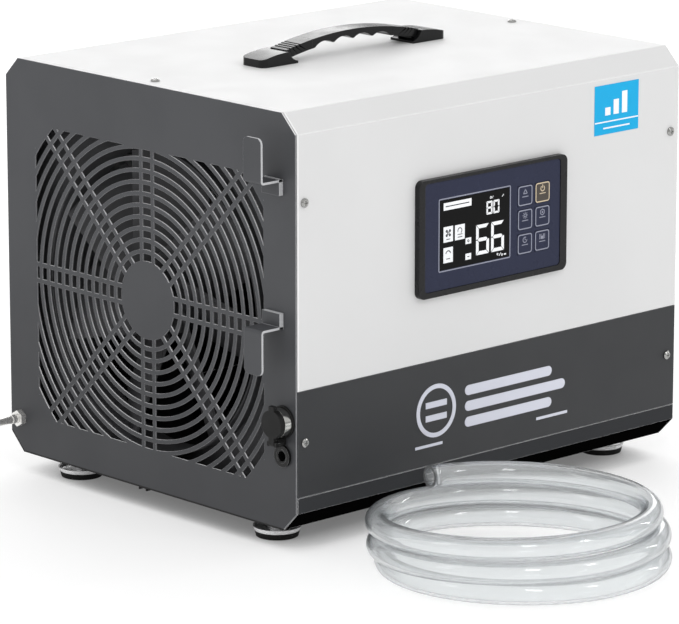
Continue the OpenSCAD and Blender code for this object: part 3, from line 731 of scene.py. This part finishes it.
def digit(value, x, z, width, height, s):
    """A seven-segment figure of stroke s whose lower left corner is at x, z, with mitred ends."""
    lit = {6: "acdefg", 8: "abcdefg", 0: "abcdef"}[value]
    gap = s * 0.12
    top, mid, right = z + height, z + height / 2, x + width
    shapes = {
        "a": [(x + gap, top), (right - gap, top), (right - s - gap, top - s),
              (x + s + gap, top - s)],
        "d": [(x + s + gap, z + s), (right - s - gap, z + s), (right - gap, z), (x + gap, z)],
        "g": [(x + s / 2 + gap, mid), (x + s + gap, mid - s / 2), (right - s - gap, mid - s / 2),
              (right - s / 2 - gap, mid), (right - s - gap, mid + s / 2),
              (x + s + gap, mid + s / 2)],
    }
    for upper, lower, edge, inward in (("f", "e", x, s), ("b", "c", right, -s)):
        half, full = edge + inward / 2, edge + inward
        shapes[upper] = [(edge, top - gap), (edge, mid + gap), (half, mid + gap),
                         (full, mid + s / 2 + gap), (full, top - s - gap)]
        shapes[lower] = [(edge, mid - gap), (edge, z + gap), (full, z + s + gap),
                         (full, mid - s / 2 - gap), (half, mid - gap)]
    return [shapes[k] for k in lit]


def print_marks(name, shapes, surface, material, body, height=0.06):
    """Shapes on the front as a thin print that stands on the surface at y."""
    points, faces = [], []
    for shape in shapes:
        area = sum(a[0] * b[1] - b[0] * a[1] for a, b in zip(shape, shape[1:] + shape[:1]))
        loop = shape if area > 0 else shape[::-1]
        n, base = len(loop), len(points)
        for y in (surface - height * MM, surface):
            points += [(x * MM, y, z * MM) for x, z in loop]
        faces.append(tuple(range(base, base + n)))
        faces += [(base + i, base + n + i, base + n + (i + 1) % n, base + (i + 1) % n)
                  for i in range(n)]
    return add_piece(name, points, faces, material, body)


def moved(shapes, dx, dz):
    return [[(x + dx, z + dz) for x, z in shape] for shape in shapes]


def display_marks():
    """The display's lit figures and tiles, measured from its lower left corner."""
    low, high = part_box("display")
    x0, z0, x1, z1 = low.x / MM, low.z / MM, high.x / MM, high.z / MM

    def put(name, shapes, material=MARK_WHITE, height=0.06):
        print_marks(name, moved(shapes, x0, z0), low.y, material, "cabinet",
                    height)

    put("display_figures", digit(6, 41.3, 6.4, 14.9, 25.2, 3.0)
        + digit(6, 58.7, 6.4, 14.9, 25.2, 3.0) + digit(8, 53.1, 38.7, 6.9, 11.1, 1.7)
        + digit(0, 61, 38.7, 7, 11.1, 1.7))
    put("display_tiles", rect(4, 49.2, 35.7, 55.4) + rect(4, 22.6, 14.8, 35.5)
        + rect(17, 22.6, 28.2, 35.2) + rect(4, 5.4, 14.8, 18.1) + rect(29.2, 17.6, 35.7, 22.7)
        + rect(29.2, 4.4, 35.7, 9.6))
    put("display_small_marks", dot(58, 52.6, 0.5, 1.1) + line((59.6, 51.6), (60.8, 53.6), 0.5)
        + line((71, 51.4), (73, 53.2), 0.6) + dot(66.2, 3.7, 0.4, 1)
        + line((67.8, 2), (70.2, 4.4), 0.6) + dot(71.4, 2.5, 0.4, 1)
        + rect(73.6, 1.9, 76.2, 3.1))
    fan_mark = dot(9.4, 30, 0.6, 1.3)
    for k in range(4):
        a = math.radians(45 + 90 * k)
        fan_mark += dot(9.4 + 2.5 * math.cos(a), 30 + 2.5 * math.sin(a), 0, 1.25)
    swirl = arc(22.6, 30.2, 1.9, 2.7, -60, 200) + line((20, 27.1), (25.6, 27.1), 0.7)
    hood = arc(9.4, 12.6, 2.2, 3.1, 10, 170) + line((7.2, 8.6), (11.6, 8.6), 0.7)
    rules = (line((6.3, 52.3), (33.2, 52.3), 0.9) + line((7.2, 24.9), (11.6, 24.9), 0.7)
             + line((20, 24.9), (25.4, 24.9), 0.7) + dot(32.4, 20.1, 0.5, 1.2)
             + line((31.4, 6.9), (33.6, 6.9), 0.8))
    put("display_icons", fan_mark + swirl + hood + rules, MARK_DARK, 0.1)
    margin = 1.6
    outline = border(x0 - margin, z0 - margin, x1 + margin, z1 + margin, 1.5, 1.0)
    print_marks("display_outline", outline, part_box("panel_film")[0].y, MARK_GREY, "cabinet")


def key_icon(number):
    """The simple sign on a key, about its centre."""
    rays = []
    for k in range(8):
        x, z = math.cos(k * math.pi / 4), math.sin(k * math.pi / 4)
        rays += line((2.1 * x, 3.4 + 2.1 * z), (3.0 * x, 3.4 + 3.0 * z), 0.6)
    icons = {
        1: line((-2.3, 1.6), (0, 5.2), 0.8) + line((0, 5.2), (2.3, 1.6), 0.8)
           + line((-2.4, 1.7), (2.4, 1.7), 0.8),
        2: arc(0, 3.2, 1.8, 2.6, 125, 415) + line((0, 3.4), (0, 6.4), 0.8),
        3: arc(0, 3.4, 1.0, 1.7) + rays,
        4: arc(0, 3.3, 2.1, 2.9, 30, 390, 6) + dot(0, 3.3, 0, 0.9),
        5: arc(0, 3.3, 1.9, 2.6, 60, 360) + line((0, 3.3), (0, 5.0), 0.6)
           + line((0, 3.3), (1.2, 3.3), 0.6),
        6: rect(-1.9, 1.0, 1.9, 3.6) + rect(-1.9, 3.6, -1.0, 5.4) + rect(1.0, 3.6, 1.9, 5.4)
           + line((-3.0, 1.0), (-3.0, 5.4), 0.6) + line((3.0, 1.0), (3.0, 5.4), 0.6),
    }
    return icons[number] + line((-3.6, -0.9), (3.6, -0.9), 0.7)


def key_marks():
    """A border and a sign on each key. The power key's print is gold on a brown ground."""
    power_key, inset = 2, 0.5
    for number in range(1, 7):
        low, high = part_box(f"key_{number}")
        x, z = (low.x + high.x) / 2 / MM, (low.z + high.z) / 2 / MM
        half = (high.x - low.x) / 2 / MM - 0.15
        color = MARK_GOLD if number == power_key else MARK_GREY
        shapes = moved(border(-half, -half, half, half, 2.4, 0.95) + key_icon(number), x, z)
        body = f"key_{number}_body"
        if number == power_key:
            side = half - inset
            print_marks("key_2_ground", moved(rect(-side, -side, side, side), x, z),
                        low.y, MARK_BROWN, body, 0.05)
        print_marks(f"key_{number}_print", shapes, low.y, color, body, 0.1)


def label_marks():
    """Three rising bars and two rules, laid out in shares of the label's sides."""
    low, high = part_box("rating_label")
    x0, z0, x1, z1 = low.x / MM, low.z / MM, high.x / MM, high.z / MM
    w, h = x1 - x0, z1 - z0
    shapes = rect(x0 + 0.5, z0 + h * 0.24, x1 - 0.5, z0 + h * 0.24 + 1.1)
    for i in range(3):
        x = x0 + w * (0.24 + 0.19 * i)
        shapes += rect(x, z0 + h * 0.38, x + w * 0.12, z0 + h * (0.54 + 0.14 * i))
    shapes += rect(x0 + w * 0.2, z0 + h * 0.11, x0 + w * 0.8, z0 + h * 0.14)
    # The print shares the display's faintly glowing white, so it glows a little: painted light.
    print_marks("label_print", shapes, low.y, MARK_WHITE, "cabinet", 0.05)


def emblem_rules():
    """Two thin rules on the skirt, below the emblem."""
    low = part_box("lower_skirts")[0]
    z, thick = low.z / MM + 15.4, 2.4
    print_marks("emblem_rules",
                rect(-88.7, z, -57.7, z + thick) + rect(52.3, z, 89.3, z + thick), low.y,
                MATERIALS["emblem_silver"], "cabinet", 0.3)


display_marks()
key_marks()
label_marks()
emblem_rules()


# ---- channel under the base -----------------------------------------------


def make_channel():
    """A shallow channel folded from sheet, open downwards, along the base."""
    low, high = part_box("base_channel")
    wide, deep, sheet = 10 * MM, 3 * MM, 1.2 * MM
    y, z = low.y, high.z
    section = [(y, z - deep), (y, z), (y + wide, z), (y + wide, z - deep),
               (y + wide - sheet, z - deep), (y + wide - sheet, z - sheet),
               (y + sheet, z - sheet), (y + sheet, z - deep)]
    n = len(section)
    points = [(x, *p) for x in (low.x, high.x) for p in section]
    faces = [(k, (k + 1) % n, n + (k + 1) % n, n + k) for k in range(n)]
    for end in ((0, 7, 6, 1), (1, 6, 5, 2), (2, 5, 4, 3)):
        faces += [end, tuple(n + k for k in reversed(end))]
    channel = add_piece("channel_strip", points, faces, MATERIALS["pan_black"], "cabinet")
    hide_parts("base_channel")


make_channel()


# ---- filter cloth ---------------------------------------------------------


def make_filter_pleats():
    """The filter's cloth, folded into upright pleats across the frame."""
    low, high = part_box("filter_mesh")
    pitch, thick = 6 * MM, 0.4 * MM
    count = int((high.y - low.y) / pitch) * 2
    points = []
    for i in range(count + 1):
        y = low.y + (high.y - low.y) * i / count
        x = low.x + thick / 2 if i % 2 else high.x - thick / 2
        points += [(x + dx, y, z) for dx in (-thick / 2, thick / 2) for z in (low.z, high.z)]
    cloth = add_piece("filter_pleats", points, bar_faces(0, count + 1),
                      MATERIALS["filter_cloth"], "filter")
    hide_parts("filter_mesh")


make_filter_pleats()


# ---- finishes of the CAD parts --------------------------------------------

SOFT_EDGES = {  # width in millimetres, segments
    "handle_grip": (1.2, 3), "handle_cap_left": (1.2, 3), "handle_cap_right": (1.2, 3),
    "panel_bezel": (0.7, 3), "socket_cap": (0.6, 2), "cap_strap": (0.4, 2),
    "gland_body": (0.5, 2), "drain_nut": (0.4, 2), "filter_frame": (0.8, 2),
}


def finish_cad_parts():
    """Gives each CAD part its material, and some a rounded edge."""
    for part in frame["record"]["subparts"]:
        name = part["node"]
        node = frame["nodes"][name]
        material = OTHER_FINISH.get(name, MATERIALS[part["material_slot"]])
        for slot in node.material_slots:
            slot.material = material
        if not node.material_slots:
            node.data.materials.append(material)
        if name in SOFT_EDGES:
            width, segments = SOFT_EDGES[name]
            soften(node, width * MM, segments)


finish_cad_parts()


# ---- floor, light ---------------------------------------------------------


def make_floor():
    """Pale paper that glows where it lies open, so that only the shade by the object is deep."""
    reach, below_feet = 40, 0.2 * MM
    g = Graph("floor_paper", (0.6, 0.6, 0.6), 0.75,
              **{"Emission Color": (1, 1, 1, 1), SPECULAR: 0.2})
    g.tone(0.004, 3)
    g.grain(4 * MM, 0.02 * MM)
    open_sky = g.add("ShaderNodeAmbientOcclusion", {"Distance": 0.3}, samples=8).outputs["AO"]
    g.link(g.ramp(open_sky, 0.15, 0.52, 0.15, 0.48), "Emission Strength")
    mesh = bpy.data.meshes.new("floor")
    corners = [(x * reach, y * reach, -below_feet) for x, y in ((-1, -1), (1, -1), (1, 1), (-1, 1))]
    mesh.from_pydata(corners, [], [(0, 1, 2, 3)])
    mesh.materials.append(g.done())
    floor = bpy.data.objects.new("floor", mesh)
    scene.collection.objects.link(floor)


def make_light(name, place, target, power, size, size_y):
    """A lamp of the given power in watts and sides in metres, which the camera doesn't see."""
    data = bpy.data.lights.new(name, "AREA")
    data.energy, data.shape, data.size, data.size_y = power, "RECTANGLE", size, size_y
    lamp = bpy.data.objects.new(name, data)
    scene.collection.objects.link(lamp)
    lamp.location = place
    lamp.rotation_mode = "QUATERNION"
    lamp.rotation_quaternion = (Vector(target) - Vector(place)).to_track_quat("-Z", "Y")
    lamp.visible_camera = False


def make_world():
    """An even white studio, darker in a low band round the horizon."""
    world = bpy.data.worlds.new("studio")
    world.use_nodes = True
    tree = world.node_tree
    back = tree.nodes["Background"]
    back.inputs["Color"].default_value = (1, 1, 1, 1)
    place = tree.nodes.new("ShaderNodeTexCoord")
    parts = tree.nodes.new("ShaderNodeSeparateXYZ")
    band = tree.nodes.new("ShaderNodeMapRange")
    for key, value in {"From Min": 0.07, "From Max": 0.2, "To Min": 0.42, "To Max": 0.77}.items():
        band.inputs[key].default_value = value
    tree.links.new(place.outputs["Generated"], parts.inputs[0])
    tree.links.new(parts.outputs[2], band.inputs["Value"])
    tree.links.new(band.outputs[0], back.inputs["Strength"])
    scene.world = world


make_floor()
make_world()
make_light("overhead", (0.1, 0.9, 2.6), (0, 0, 0.3), 5.5, 1.6, 1.6)
make_light("rear_panel", (1.65, 1.76, 1.4), (0, 0, 0.3), 20, 2.4, 1.3)
make_light("left_strip", (-1.9, 0.1, 1.7), (0, 0, 0.3), 3.6, 0.5, 1.6)
make_light("left_window", (-1.2, -1.9, 2.0), (0, 0, 0.1), 6.5, 0.4, 0.7)
make_light("right_window", (0.3, -2.2, 1.7), (0, 0, 0.1), 4, 0.25, 0.6)
make_light("right_strip", (2.0, -0.9, 1.0), (0, 0, 0.2), 3, 0.12, 0.9)
scene.view_settings.view_transform = "Standard"
scene.view_settings.look = "None"


# ---- final update ---------------------------------------------------------

bpy.context.view_layer.update()
